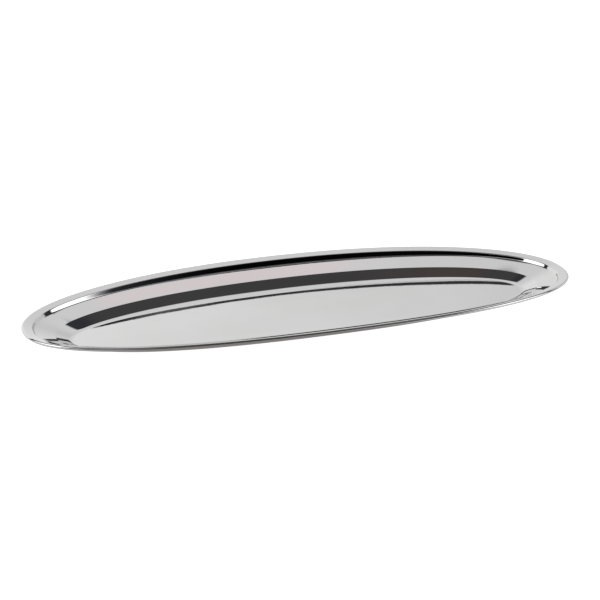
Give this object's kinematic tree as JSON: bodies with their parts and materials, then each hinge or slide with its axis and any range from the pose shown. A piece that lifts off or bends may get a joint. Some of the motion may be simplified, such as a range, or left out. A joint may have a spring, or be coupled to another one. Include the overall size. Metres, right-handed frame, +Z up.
{
  "type": "oval serving platter",
  "caption": "Long shallow oval platter in polished steel, with a flat floor, sloping wall, wide flange, stepped lip and rolled edge.",
  "frame": {"origin": "middle of the flat underside, on the surface that the platter stands on", "axes": "+X along the platter's length, +Y across its width, +Z up out of the dish"},
  "size_m": [0.6, 0.24, 0.0264],
  "materials": {
    "polished_steel": "bright polished stainless steel sheet",
    "wire_steel": "drawn wire, dull"
  },
  "bodies": {
    "root": {"platter_body": "polished_steel", "rim_wire": "wire_steel"}
  },
  "joints": []
}
